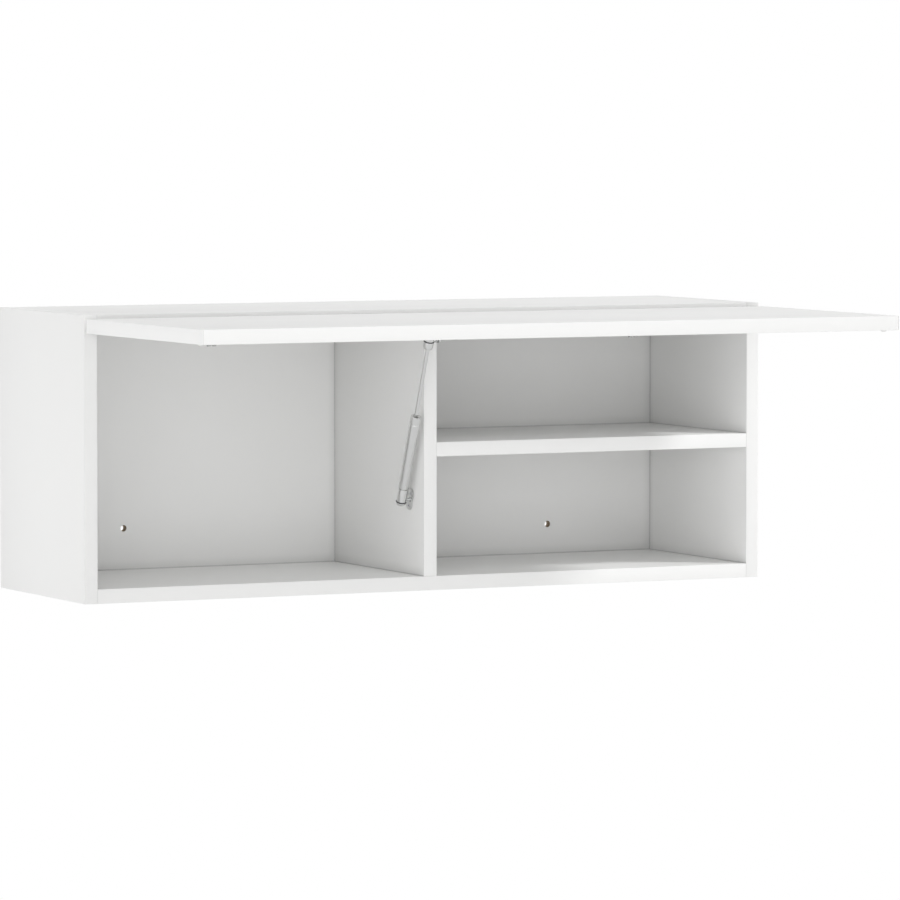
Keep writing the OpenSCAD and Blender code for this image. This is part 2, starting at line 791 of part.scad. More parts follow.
// A ball socket about the origin: a tapered end, a straight body that reaches len along +Z,
// the ball's seat with a hole for its stud, and a groove for its clip at clip_at
module ball_socket(len, clip_at) {
    difference() {
        union() {
            translate([0, 0, -socket_back])
                cylinder(d1 = socket_d - socket_cone, d2 = socket_d, h = socket_cone);
            translate([0, 0, socket_cone - socket_back - eps])
                cylinder(d = socket_d, h = len + socket_back - socket_cone + eps);
        }
        sphere(d = ball_d + 2 * ball_play);
        rod_x(stud_hole_d / 2, socket_d);
        translate([0, 0, clip_at]) ring_groove(socket_d, clip_t, clip_depth);
    }
}

module strut_lower_socket() {
    color("lightgray") on_strut() {
        ball_socket(tube_start - socket_neck_len, lower_clip_at);
        translate([0, 0, tube_start - socket_neck_len - eps])
            cylinder(d = socket_neck_d, h = socket_neck_len + eps);
    }
}

// Children at the upper ball, with +Z back along the strut
module at_upper_ball() {
    on_strut() translate([0, 0, strut_len]) rotate([180, 0, 0]) children();
}

module strut_upper_socket() {
    color("lightgray") at_upper_ball() difference() {
        union() {
            ball_socket(upper_socket_len - socket_cone, upper_clip_at);
            translate([0, 0, upper_socket_len - socket_cone - eps])
                cylinder(d1 = socket_d, d2 = socket_d - socket_cone, h = socket_cone + eps);
        }
        translate([0, 0, upper_socket_len - rod_in_socket]) cylinder(d = rod_d + fit, h = 2 * rod_in_socket);
    }
}

// The spring clip in a socket's groove, open on the side of the stud
module clip(clip_at) {
    translate([0, 0, clip_at]) difference() {
        cylinder(r = socket_d / 2 + clip_depth, h = clip_t - fit, center = true);
        cylinder(r = socket_d / 2 - clip_depth + fit / 2, h = clip_t + 1, center = true);
        translate([socket_d / 2 - 3 * clip_depth, -stud_hole_d / 2, -clip_t])
            cube([socket_d, stud_hole_d, 2 * clip_t]);
    }
}

module strut_lower_clip() {
    color("dimgray") on_strut() clip(lower_clip_at);
}

module strut_upper_clip() {
    color("dimgray") at_upper_ball() clip(upper_clip_at);
}

// A ball on a stud along +X that ends in a collar against its plate
module ball_stud(reach) {
    rotate([0, 90, 0]) rotate_extrude() {
        intersection() {
            circle(d = ball_d);
            translate([0, -ball_d]) square([ball_d, 2 * ball_d]);
        }
        square([stud_d / 2, reach]);
        translate([0, reach - stud_collar_t]) square([stud_d / 2 + stud_collar_w, stud_collar_t]);
    }
}

module lower_ball_stud() {
    color("silver") on_strut() ball_stud(strut_out - bracket_t);
}

module upper_ball_stud() {
    color("silver") translate([strut_x, top_ball[0], top_ball[1]]) ball_stud(ear_x - bracket_t - strut_x);
}

// Places of the lower bracket's screws, in line with the open strut, heads to the left
module at_low_screws() {
    on_strut() for (s = [-1, 1]) translate([strut_out - bracket_t, 0, s * low_screw_at])
        rotate([0, -90, 0]) children();
}

// A plate with two round lobes and a narrower waist
module lower_bracket() {
    lobe_r = low_plate_w / 2;
    color("silver") difference() {
        on_strut() translate([strut_out - bracket_t / 2, 0, 0]) across(bracket_t) {
            square([low_plate_waist, low_plate_h - low_plate_w], center = true);
            for (s = [-1, 1]) translate([0, s * (low_plate_h / 2 - lobe_r)]) circle(r = lobe_r);
        }
        at_low_screws() screw_hole(bracket_screw_d, bracket_screw_len);
    }
}

module lower_bracket_screws() {
    color("silver") at_low_screws() wood_screw(bracket_screw_d, bracket_screw_len);
}

// Places of the upper bracket's screws, in the flap's frame
module at_base_screws() {
    for (s = [-1, 1]) translate([ear_x - base_screw_x, top_ball_edge + s * base_screw_y, bracket_t])
        children();
}

// An angle bracket: a base on the flap's inner face and an ear that carries the ball
module upper_bracket() {
    color("silver") on_flap() {
        difference() {
            translate([ear_x - base_w, top_ball_edge - base_len / 2, 0]) cube([base_w, base_len, bracket_t]);
            at_base_screws() screw_hole(bracket_screw_d, bracket_screw_len);
        }
        translate([ear_x - bracket_t / 2, top_ball_edge, 0]) across(bracket_t) {
            translate([-ear_half_w, 0]) square([2 * ear_half_w, top_ball_out]);
            translate([0, top_ball_out]) intersection() {
                circle(r = ear_half_w);
                translate([-ear_half_w, -1]) square([2 * ear_half_w, ear_low + 1]);
            }
        }
    }
}

module upper_bracket_screws() {
    color("silver") on_flap() at_base_screws() wood_screw(bracket_screw_d, bracket_screw_len);
}

// ---------------------------------------------------------------- nodes

side_left();
side_right();
top_panel();
bottom_panel();
divider();
shelf();
back_panel();
side_edge_bands();
level_edge_bands();
divider_edge_band();
shelf_edge_band();
cam_locks();
cam_bolts();
dowels();
back_screws();
hinge_plates();
hinge_plate_screws();
hinge_arms();
hinge_arm_screws();
hinge_arm_pins();
hinge_links();
hinge_cups();
hinge_cup_screws();
hinge_cup_pins();
flap_panel();
flap_side_bands();
flap_long_bands();
flap_pads();
strut_tube();
strut_guide_ring();
strut_rod();
strut_piston();
strut_lower_socket();
strut_upper_socket();
strut_lower_clip();
strut_upper_clip();
lower_bracket();
lower_bracket_screws();
lower_ball_stud();
upper_bracket();
upper_bracket_screws();
upper_ball_stud();
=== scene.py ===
# %% [markdown]
# # A lift up wall cabinet
# A wide, shallow cabinet of white boards hangs on the wall. One flap as wide as the cabinet
# closes it, and lifts on two cup hinges and one gas strut. This lesson dresses the packed
# model of that cabinet: boards with eased edges, glued edge strips, pressed steel hinges and
# a painted gas strut, in a plain white studio.

import json
import math

import bmesh
import bpy
from mathutils import Matrix, Vector


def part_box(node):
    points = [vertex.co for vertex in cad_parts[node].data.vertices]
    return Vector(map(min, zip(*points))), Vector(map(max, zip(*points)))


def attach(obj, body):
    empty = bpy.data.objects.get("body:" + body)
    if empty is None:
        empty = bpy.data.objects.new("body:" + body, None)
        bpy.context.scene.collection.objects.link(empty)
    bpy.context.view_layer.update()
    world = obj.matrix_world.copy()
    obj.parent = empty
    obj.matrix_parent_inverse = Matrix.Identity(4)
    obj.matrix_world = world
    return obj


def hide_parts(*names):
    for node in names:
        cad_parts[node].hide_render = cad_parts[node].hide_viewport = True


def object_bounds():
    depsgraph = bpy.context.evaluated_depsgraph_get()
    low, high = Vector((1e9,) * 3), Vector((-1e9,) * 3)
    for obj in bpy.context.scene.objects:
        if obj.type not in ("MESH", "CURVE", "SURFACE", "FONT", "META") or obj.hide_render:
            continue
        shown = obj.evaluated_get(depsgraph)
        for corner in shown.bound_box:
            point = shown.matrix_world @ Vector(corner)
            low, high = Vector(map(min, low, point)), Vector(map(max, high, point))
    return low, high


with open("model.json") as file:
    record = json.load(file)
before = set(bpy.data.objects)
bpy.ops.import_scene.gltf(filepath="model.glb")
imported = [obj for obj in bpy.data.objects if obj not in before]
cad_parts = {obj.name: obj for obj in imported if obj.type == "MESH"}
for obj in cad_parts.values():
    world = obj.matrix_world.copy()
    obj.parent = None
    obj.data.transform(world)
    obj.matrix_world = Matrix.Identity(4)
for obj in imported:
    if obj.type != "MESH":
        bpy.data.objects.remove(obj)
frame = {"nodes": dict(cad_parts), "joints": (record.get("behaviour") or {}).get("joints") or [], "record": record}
cad_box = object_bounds()
nodes = frame["nodes"]
joint_at = {j["name"]: Vector(j["pos_m"]) for j in frame["joints"]}

# %% [markdown]
# ## The camera
# The photograph was taken from far to the left with a long lens, so the cabinet shows almost
# no perspective. The camera stands where a fit to the cabinet's corners puts it, and looks a
# little down. Its place is written as real sizes, measured from the middle of the rear face.

# %% Camera
CAMERA_PLACE = Vector((-3.5626, -7.6069, 0.5011))
CAMERA_TURN = math.radians(26.156)
CAMERA_DIP = math.radians(3.528)
LENS_MM = 244.02
SENSOR_MM = 36.0


def make_camera():
    data = bpy.data.cameras.new("camera")
    data.sensor_width = SENSOR_MM
    data.lens = LENS_MM
    camera = bpy.data.objects.new("camera", data)
    camera.location = CAMERA_PLACE
    camera.rotation_euler = (math.pi / 2 - CAMERA_DIP, 0, -CAMERA_TURN)
    bpy.context.scene.collection.objects.link(camera)
    bpy.context.scene.camera = camera
    return camera


camera = make_camera()
print("camera at", tuple(round(v, 3) for v in camera.location))

# %% [markdown]
# Sky, lamps and finishes are all built from small nodes that are linked together. Three short
# helpers do that work: the first links two sockets, the second also takes a plain number, and
# the third makes one step of arithmetic.

# %% Helpers for node trees


def link(tree, out_socket, in_socket):
    tree.links.new(out_socket, in_socket)


def feed(tree, given, in_socket):
    """Puts a number on a socket, or links another socket to it."""
    if isinstance(given, (int, float)):
        in_socket.default_value = given
    else:
        link(tree, given, in_socket)


def reckon(tree, operation, first, second):
    """One step of arithmetic between numbers or sockets."""
    made = tree.nodes.new("ShaderNodeMath")
    made.operation = operation
    feed(tree, first, made.inputs[0])
    feed(tree, second, made.inputs[1])
    return made.outputs[0]


# %% [markdown]
# ## The light
# Everything in the photograph is white on white, and only soft shade tells the faces apart.
# The front edges are the brightest, the top and the left side a little darker, and the bays
# are a light grey. A soft sky that grows brighter towards the ground gives that shade in the
# bays by itself. One broad, weak lamp in front lifts the faces that look forward, and a
# narrower one throws the soft edge of light that lies across the floors. The pale floor sends
# light up from below, and the camera sees the white of the studio through it.

# %% Sky, lamps and floor
SKY_LEVEL = 1.07
SKY_LEAN = Vector((-0.16, 0.18, -0.85))
KEY_WAY = Vector((1.07, -0.78, 1.29))
KEY_SPREAD = math.radians(10)
KEY_STRENGTH = 1.31
FILL_PLACE = Vector((-3.4, -7.1, -0.6))
FILL_WIDE = 6.0
FILL_POWER = 105.4
FLOOR_DROP = 1.35
FLOOR_HALF = 5.0
FLOOR_GREY = 0.9
FLOOR_ROUGHNESS = 0.9


def make_sky():
    world = bpy.data.worlds.new("studio")
    world.use_nodes = True
    tree = world.node_tree
    tree.nodes.clear()
    way = tree.nodes.new("ShaderNodeTexCoord").outputs["Generated"]
    lean = tree.nodes.new("ShaderNodeVectorMath")
    lean.operation = "DOT_PRODUCT"
    lean.inputs[1].default_value = SKY_LEAN
    link(tree, way, lean.inputs[0])
    level = reckon(tree, "ADD", lean.outputs["Value"], SKY_LEVEL)
    path = tree.nodes.new("ShaderNodeLightPath")
    seen = path.outputs["Is Camera Ray"]
    for kind in ("Is Glossy Ray", "Is Transmission Ray"):
        seen = reckon(tree, "MAXIMUM", seen, path.outputs[kind])
    strength = tree.nodes.new("ShaderNodeMapRange")
    strength.inputs["To Max"].default_value = 1.0
    link(tree, seen, strength.inputs["Value"])
    link(tree, level, strength.inputs["To Min"])
    light = tree.nodes.new("ShaderNodeBackground")
    light.inputs["Color"].default_value = (1, 1, 1, 1)
    link(tree, strength.outputs[0], light.inputs["Strength"])
    out = tree.nodes.new("ShaderNodeOutputWorld")
    link(tree, light.outputs[0], out.inputs["Surface"])
    bpy.context.scene.world = world


def aim_lamp(data, place):
    """Stands a lamp at a place and turns it towards the cabinet."""
    lamp = bpy.data.objects.new(data.name, data)
    lamp.location = place
    lamp.rotation_euler = (-place).to_track_quat("-Z", "Y").to_euler()
    bpy.context.scene.collection.objects.link(lamp)


def make_lamps():
    key = bpy.data.lights.new("key_lamp", "SUN")
    key.angle = KEY_SPREAD
    key.energy = KEY_STRENGTH
    aim_lamp(key, KEY_WAY)
    fill = bpy.data.lights.new("fill_lamp", "AREA")
    fill.shape = "DISK"
    fill.size = FILL_WIDE
    fill.energy = FILL_POWER
    aim_lamp(fill, FILL_PLACE)


def make_floor():
    bm = bmesh.new()
    bmesh.ops.create_grid(bm, x_segments=1, y_segments=1, size=FLOOR_HALF)
    bmesh.ops.translate(bm, vec=(0, 0, cad_box[0][2] - FLOOR_DROP), verts=bm.verts)
    mesh = bpy.data.meshes.new("floor")
    bm.to_mesh(mesh)
    bm.free()
    floor = bpy.data.objects.new("floor", mesh)
    bpy.context.scene.collection.objects.link(floor)
    paint = bpy.data.materials.new("floor_paint")
    paint.use_nodes = True
    tree = paint.node_tree
    shader = tree.nodes["Principled BSDF"]
    shader.inputs["Base Color"].default_value = (FLOOR_GREY, FLOOR_GREY, FLOOR_GREY, 1)
    shader.inputs["Roughness"].default_value = FLOOR_ROUGHNESS
    unseen = tree.nodes.new("ShaderNodeMixShader")
    link(tree, tree.nodes.new("ShaderNodeLightPath").outputs["Is Camera Ray"], unseen.inputs[0])
    link(tree, shader.outputs["BSDF"], unseen.inputs[1])
    link(tree, tree.nodes.new("ShaderNodeBsdfTransparent").outputs[0], unseen.inputs[2])
    link(tree, unseen.outputs[0], tree.nodes["Material Output"].inputs["Surface"])
    mesh.materials.append(paint)


make_sky()
make_lamps()
make_floor()
bpy.context.scene.view_settings.view_transform = "Standard"

# %% [markdown]
# ## Finishes
# Melamine board is a printed paper pressed onto particle board. From a step away it is plain
# white, and close by it has a fine even grain and a soft sheen that is never quite the same
# all over. A node group makes that skin once, and every white material gives it its own
# colour and grain.

# %% Parts that the node groups share
NOISE_LOW = 0.3
NOISE_HIGH = 0.7


def group_socket(group, name, way, kind, value=None):
    made = group.interface.new_socket(name, in_out=way, socket_type="NodeSocket" + kind)
    if value is not None:
        made.default_value = value


def noise(tree, where, scale, detail):
    made = tree.nodes.new("ShaderNodeTexNoise")
    feed(tree, scale, made.inputs["Scale"])
    made.inputs["Detail"].default_value = detail
    link(tree, where, made.inputs["Vector"])
    return made.outputs["Fac"]


def spread(tree, value, low, high):
    """Turns the middle part of a noise into values between two ends."""
    made = tree.nodes.new("ShaderNodeMapRange")
    made.inputs["From Min"].default_value = NOISE_LOW
    made.inputs["From Max"].default_value = NOISE_HIGH
    for name, given in (("Value", value), ("To Min", low), ("To Max", high)):
        feed(tree, given, made.inputs[name])
    return made.outputs["Result"]


def shaded(tree, colour, shade):
    """A colour made darker by a shade between nought and one."""
    made = tree.nodes.new("ShaderNodeVectorMath")
    made.operation = "SCALE"
    link(tree, colour, made.inputs[0])
    link(tree, shade, made.inputs["Scale"])
    return made.outputs[0]


def raised(tree, height, distance):
    """The normal of a surface that a pattern raises by up to a distance."""
    made = tree.nodes.new("ShaderNodeBump")
    link(tree, distance, made.inputs["Distance"])
    link(tree, height, made.inputs["Height"])
    return made.outputs["Normal"]


# %% [markdown]
# The skin has wide clouds that barely change the colour, smears that dull the sheen, and a
# grain fine enough to be felt and hardly seen.

# %% Node group for pressed and moulded surfaces
CLOUDS_PER_METRE = 7.0
SMEARS_PER_METRE = 40.0
SMEAR_DULLNESS = 0.06


def make_skin_group():
    group = bpy.data.node_groups.new("pressed_skin", "ShaderNodeTree")
    group_socket(group, "Colour", "INPUT", "Color", (0.8, 0.8, 0.8, 1))
    group_socket(group, "Cloudiness", "INPUT", "Float", 0.015)
    group_socket(group, "Roughness", "INPUT", "Float", 0.45)
    group_socket(group, "Grain Scale", "INPUT", "Float", 900.0)
    group_socket(group, "Grain Depth", "INPUT", "Float", 0.00002)
    group_socket(group, "Colour", "OUTPUT", "Color")
    group_socket(group, "Roughness", "OUTPUT", "Float")
    group_socket(group, "Normal", "OUTPUT", "Vector")
    given = group.nodes.new("NodeGroupInput")
    out = group.nodes.new("NodeGroupOutput")
    where = group.nodes.new("ShaderNodeTexCoord").outputs["Object"]

    clouds = noise(group, where, CLOUDS_PER_METRE, 4.0)
    keep = reckon(group, "SUBTRACT", 1.0, given.outputs["Cloudiness"])
    shade = spread(group, clouds, keep, 1.0)
    link(group, shaded(group, given.outputs["Colour"], shade), out.inputs["Colour"])

    smears = noise(group, where, SMEARS_PER_METRE, 3.0)
    duller = reckon(group, "ADD", given.outputs["Roughness"], SMEAR_DULLNESS)
    rough = spread(group, smears, given.outputs["Roughness"], duller)
    link(group, rough, out.inputs["Roughness"])

    grain = noise(group, where, given.outputs["Grain Scale"], 1.0)
    link(group, raised(group, grain, given.outputs["Grain Depth"]), out.inputs["Normal"])
    return group


skin_group = make_skin_group()
print("skin group:", len(skin_group.nodes), "nodes")

# %% [markdown]
# Drawn, turned and rolled metal has fine lines along the way it was worked. The second group
# stretches a noise along one direction, so that the lines run round a turned pin or along a
# drawn tube, and dulls the metal unevenly.

# %% Node group for worked metal
SPOTS_PER_METRE = 90.0
SPOT_DULLNESS = 0.05


def make_metal_group():
    group = bpy.data.node_groups.new("worked_metal", "ShaderNodeTree")
    group_socket(group, "Colour", "INPUT", "Color", (0.6, 0.6, 0.6, 1))
    group_socket(group, "Roughness", "INPUT", "Float", 0.3)
    group_socket(group, "Stretch", "INPUT", "Vector", (60.0, 1500.0, 1500.0))
    group_socket(group, "Line Depth", "INPUT", "Float", 0.000004)
    group_socket(group, "Tarnish", "INPUT", "Float", 0.08)
    group_socket(group, "Colour", "OUTPUT", "Color")
    group_socket(group, "Roughness", "OUTPUT", "Float")
    group_socket(group, "Normal", "OUTPUT", "Vector")
    given = group.nodes.new("NodeGroupInput")
    out = group.nodes.new("NodeGroupOutput")
    where = group.nodes.new("ShaderNodeTexCoord").outputs["Object"]

    drawn = group.nodes.new("ShaderNodeVectorMath")
    drawn.operation = "MULTIPLY"
    link(group, where, drawn.inputs[0])
    link(group, given.outputs["Stretch"], drawn.inputs[1])
    lines = noise(group, drawn.outputs[0], 1.0, 2.0)
    link(group, raised(group, lines, given.outputs["Line Depth"]), out.inputs["Normal"])

    spots = noise(group, where, SPOTS_PER_METRE, 3.0)
    duller = reckon(group, "ADD", given.outputs["Roughness"], SPOT_DULLNESS)
    rough = spread(group, spots, given.outputs["Roughness"], duller)
    link(group, rough, out.inputs["Roughness"])

    keep = reckon(group, "SUBTRACT", 1.0, given.outputs["Tarnish"])
    shade = spread(group, spots, 1.0, keep)
    link(group, shaded(group, given.outputs["Colour"], shade), out.inputs["Colour"])
    return group


metal_group = make_metal_group()
print("metal group:", len(metal_group.nodes), "nodes")

# %% [markdown]
# Where two boards meet, a fine dark line of painted shade runs along the seam, and a softer
# painted shade darkens the corner around it. A third group finds those corners by how much of
# the space around a point is shut off, once within the width of the seam and once within a
# finger's width, and darkens the colour there. At the foot of a square corner, half of the
# space is shut off.

# %% Node group for the painted shade at the joints and in the corners
CORNER_RAYS = 6
OPEN_IN_A_CORNER = 0.5


def corner_shade(group, reach, darkness):
    """Gives one in the open, and less near a corner, within a reach: a mask for painted shade."""
    around = group.nodes.new("ShaderNodeAmbientOcclusion")
    around.samples = CORNER_RAYS
    link(group, reach, around.inputs["Distance"])
    shade = group.nodes.new("ShaderNodeMapRange")
    shade.inputs["From Min"].default_value = OPEN_IN_A_CORNER
    link(group, around.outputs["AO"], shade.inputs["Value"])
    link(group, reckon(group, "SUBTRACT", 1.0, darkness), shade.inputs["To Min"])
    return shade.outputs["Result"]


def make_painted_shade_group():
    group = bpy.data.node_groups.new("corner_dust", "ShaderNodeTree")
    group_socket(group, "Colour", "INPUT", "Color", (0.8, 0.8, 0.8, 1))
    group_socket(group, "Joint Reach", "INPUT", "Float", 0.0016)
    group_socket(group, "Joint Darkness", "INPUT", "Float", 0.3)
    group_socket(group, "Dust Reach", "INPUT", "Float", 0.013)
    group_socket(group, "Dust Darkness", "INPUT", "Float", 0.1)
    group_socket(group, "Colour", "OUTPUT", "Color")
    given = group.nodes.new("NodeGroupInput")
    out = group.nodes.new("NodeGroupOutput")
    joint = corner_shade(group, given.outputs["Joint Reach"], given.outputs["Joint Darkness"])
    painted_shade = corner_shade(group, given.outputs["Dust Reach"], given.outputs["Dust Darkness"])
    # Painted shade: the colour is darkened where the space around a point is closed in, as shade would fall there.
    both = reckon(group, "MULTIPLY", joint, painted_shade)
    link(group, shaded(group, given.outputs["Colour"], both), out.inputs["Colour"])
    return group


painted_shade_group = make_painted_shade_group()
print("dust group:", len(painted_shade_group.nodes), "nodes")

# %% [markdown]
# Each material holds its own shader, and takes colour, roughness and normal from one of the
# first two groups. What is the same all over, such as whether it is a metal, is set on the
# shader itself. The white finishes also pass through the third group, which paints shade into
# the colour at their joints and corners.

# %% Materials


def finish(name, group, colour, roughness, metallic=0.0, joint=0.0, **values):
    made = bpy.data.materials.new(name)
    made.use_nodes = True
    tree = made.node_tree
    shader = tree.nodes["Principled BSDF"]
    shader.inputs["Metallic"].default_value = metallic
    look = tree.nodes.new("ShaderNodeGroup")
    look.node_tree = group
    look.inputs["Colour"].default_value = (*colour, 1)
    look.inputs["Roughness"].default_value = roughness
    for key, value in values.items():
        look.inputs[key.replace("_", " ")].default_value = value
    colour_from = look.outputs["Colour"]
    # The white finishes get painted shade darkened into their colour at joints and corners.
    if joint:
        corners = tree.nodes.new("ShaderNodeGroup")
        corners.node_tree = painted_shade_group
        corners.inputs["Joint Darkness"].default_value = joint
        link(tree, colour_from, corners.inputs["Colour"])
        colour_from = corners.outputs["Colour"]
    link(tree, colour_from, shader.inputs["Base Color"])
    link(tree, look.outputs["Roughness"], shader.inputs["Roughness"])
    link(tree, look.outputs["Normal"], shader.inputs["Normal"])
    return made


WHITE = (0.90, 0.90, 0.892)
# How dark the painted shade at the joints and corners is.
JOINT_SHADE_DARKNESS = 0.3
LINES_ALONG_X = (60.0, 1500.0, 1500.0)
LINES_ROUND_X = (1500.0, 60.0, 60.0)
LINES_ALONG_Z = (1500.0, 1500.0, 60.0)
NO_LINES = (400.0, 400.0, 400.0)

melamine = finish(
    "white_melamine", skin_group, WHITE, 0.42, joint=JOINT_SHADE_DARKNESS, Cloudiness=0.012)
strip_plastic = finish(
    "edge_strip_plastic", skin_group, WHITE, 0.34, joint=JOINT_SHADE_DARKNESS, Cloudiness=0.01,
    Grain_Scale=500.0, Grain_Depth=0.00001)
chipboard = finish(
    "raw_particle_board", skin_group, (0.42, 0.33, 0.23), 0.85, Cloudiness=0.35,
    Grain_Scale=420.0, Grain_Depth=0.0006)
cast_zinc = finish(
    "cast_zinc", metal_group, (0.62, 0.63, 0.64), 0.45, metallic=1.0, Stretch=NO_LINES,
    Line_Depth=0.00002)
bright_zinc = finish("bright_zinc", metal_group, (0.72, 0.73, 0.74), 0.24, metallic=1.0)
nickel = finish(
    "nickel_plate", metal_group, (0.50, 0.50, 0.49), 0.26, metallic=1.0, Stretch=LINES_ALONG_X)
turned_steel = finish(
    "turned_steel", metal_group, (0.72, 0.73, 0.73), 0.16, metallic=1.0, Stretch=LINES_ROUND_X)
pressed_zinc = finish("pressed_zinc", metal_group, (0.66, 0.665, 0.66), 0.14, metallic=1.0)
chrome = finish(
    "ground_chrome", metal_group, (0.74, 0.745, 0.74), 0.07, metallic=1.0, Tarnish=0.01,
    Stretch=LINES_ALONG_Z)
tube_paint = finish(
    "tube_paint", metal_group, (0.72, 0.725, 0.72), 0.2, metallic=0.9, Tarnish=0.01,
    Line_Depth=0.000001, Stretch=NO_LINES)
socket_steel = finish(
    "socket_steel", metal_group, (0.78, 0.785, 0.78), 0.12, metallic=1.0, Tarnish=0.02,
    Line_Depth=0.000002, Stretch=LINES_ROUND_X)
guide_plastic = finish(
    "guide_plastic", skin_group, (0.82, 0.82, 0.81), 0.4, Cloudiness=0.02, Grain_Scale=700.0)
spring_steel = finish("spring_steel", metal_group, (0.10, 0.10, 0.11), 0.35, metallic=0.9)
beech = finish(
    "beech_dowel", skin_group, (0.60, 0.44, 0.27), 0.6, Cloudiness=0.12, Grain_Scale=300.0,
    Grain_Depth=0.00008)
soft_pad = finish("soft_pad", skin_group, (0.80, 0.80, 0.78), 0.5, Cloudiness=0.02)
print("materials:", len(bpy.data.materials))

# %% [markdown]
# ## Helpers for the pieces
# A board starts as a cube, is stretched between two corners and gets its edges eased, because
# the factory breaks every edge of a panel. Bores and rebates are cut afterwards, and the cut
# shows the brown particle board inside, so a cutter carries that material with it.

# %% Making a piece


def plank(low, high, ease, segments=2):
    """A block between two corners, with all its edges eased."""
    low, high = Vector(low), Vector(high)
    bm = bmesh.new()
    bmesh.ops.create_cube(bm, size=1.0)
    bmesh.ops.scale(bm, vec=high - low, verts=bm.verts)
    bmesh.ops.translate(bm, vec=(low + high) / 2, verts=bm.verts)
    if ease:
        bmesh.ops.bevel(
            bm, geom=bm.edges[:], offset=ease, segments=segments, profile=0.5, affect="EDGES", material=-1)
    return bm


def taper(centre, axis, radius, far_radius, length, steps=40):
    """A round cutter about a point, along an axis, that may narrow on its way."""
    bm = bmesh.new()
    turn = Vector((0, 0, 1)).rotation_difference(Vector(axis)).to_matrix().to_4x4()
    bmesh.ops.create_cone(
        bm, cap_ends=True, segments=steps, radius1=radius, radius2=far_radius, depth=length,
        matrix=Matrix.Translation(centre) @ turn)
    return bm


def drill(centre, axis, radius, length, steps=40):
    return taper(centre, axis, radius, radius, length, steps)


def to_object(name, bm, material):
    mesh = bpy.data.meshes.new(name)
    bmesh.ops.recalc_face_normals(bm, faces=bm.faces)
    bm.to_mesh(mesh)
    bm.free()
    mesh.materials.append(material)
    made = bpy.data.objects.new(name, mesh)
    bpy.context.scene.collection.objects.link(made)
    return made


# %% [markdown]
# All the cutters of a piece are joined first, so that one exact Boolean takes them out
# together. It leaves a clean mesh, and the modifier itself is gone before the next step.

# %% Cutting a piece


def add_to(whole, part):
    """Moves the shape of one bmesh into another."""
    loose = bpy.data.meshes.new("loose")
    part.to_mesh(loose)
    part.free()
    whole.from_mesh(loose)
    bpy.data.meshes.remove(loose)


def cut(piece, cutters, material):
    """Takes each cutter out of the piece; the faces it leaves get the cutter's material."""
    whole = bmesh.new()
    for cutter in cutters:
        add_to(whole, cutter)
    tool = to_object("cutter", whole, material)
    change = piece.modifiers.new("cut", "BOOLEAN")
    change.operation = "DIFFERENCE"
    change.solver = "EXACT"
    change.material_mode = "TRANSFER"
    change.object = tool
    bpy.context.view_layer.update()
    seen = piece.evaluated_get(bpy.context.evaluated_depsgraph_get())
    result = bpy.data.meshes.new_from_object(seen)
    piece.modifiers.clear()
    piece.data = result
    bpy.data.objects.remove(tool)
    return piece


# %% [markdown]
# A finished piece is shaded smooth across its eased edges only, rides on the body that
# carries it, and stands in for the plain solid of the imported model.

# %% Placing a piece
SMOOTH_UNDER = math.radians(30)


def place(piece, body, slot_name, *replaced):
    for face in piece.data.polygons:
        face.use_smooth = True
    piece.data.set_sharp_from_angle(angle=SMOOTH_UNDER)
    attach(piece, body)
    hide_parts(*replaced)
    print(piece.name, "faces:", len(piece.data.polygons))
    return piece


# %% [markdown]
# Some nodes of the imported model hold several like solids, such as all the cam locks. This
# helper walks from corner to corner along the edges, and so tells one solid from the next.

# %% Reading the solids of a node
SAME_POINT = 0.000001


def solids(node):
    """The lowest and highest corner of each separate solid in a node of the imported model."""
    bm = bmesh.new()
    bm.from_mesh(nodes[node].data)
    bmesh.ops.remove_doubles(bm, verts=bm.verts, dist=SAME_POINT)
    left = set(bm.verts)
    found = []
    while left:
        waiting = [left.pop()]
        corners = []
        while waiting:
            corner = waiting.pop()
            corners.append(corner.co.copy())
            for edge in corner.link_edges:
                other = edge.other_vert(corner)
                if other in left:
                    left.remove(other)
                    waiting.append(other)
        low = Vector(min(c[i] for c in corners) for i in range(3))
        high = Vector(max(c[i] for c in corners) for i in range(3))
        found.append((low, high))
    bm.free()
    return sorted(found, key=lambda pair: tuple(pair[0]))


cams = solids("cam_locks")
print("cam locks:", len(cams))

# %% [markdown]
# ## The boards
# Six boards make the carcass, and the back panel lies in a rebate behind them. A board's front
# edge carries a glued strip, so the board itself stops one strip short of the front. The cam
# locks sit in round pockets under the level boards and in the right face of the divider, and
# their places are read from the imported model.

# %% Boards of the carcass
EASE = 0.0004
CAM_PLAY = 0.0001
BACK_PLAY = 0.0003
DEPTH_PAST = 0.001
back_low, back_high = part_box("back_panel")
back_cutter_low = back_low - Vector((BACK_PLAY, 0, BACK_PLAY))
back_cutter_high = back_high + Vector((BACK_PLAY, DEPTH_PAST, BACK_PLAY))


def cam_pockets(node, face_axis):
    """Round pockets for the cam locks that sit in this board, open to one of its faces."""
    low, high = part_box(node)
    axis = Vector(face_axis)
    i = max(range(3), key=lambda k: abs(axis[k]))
    face = high if axis[i] > 0 else low
    pockets = []
    for cam_low, cam_high in cams:
        middle = (cam_low + cam_high) / 2
        if all(low[k] < middle[k] < high[k] for k in range(3)):
            depth, _, width = sorted(cam_high - cam_low)
            middle[i] = face[i] - axis[i] * (depth - DEPTH_PAST) / 2
            pockets.append(drill(middle, axis, width / 2 + CAM_PLAY, depth + DEPTH_PAST))
    return pockets


def board(node, cam_face=None, rebated=True):
    low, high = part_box(node)
    piece = to_object("board_" + node, plank(low, high, EASE), melamine)
    cutters = []
    if rebated:
        cutters.append(plank(back_cutter_low, back_cutter_high, 0))
    if cam_face:
        cutters += cam_pockets(node, cam_face)
    cut(piece, cutters, chipboard)
    return place(piece, "carcass", "white_board", node)


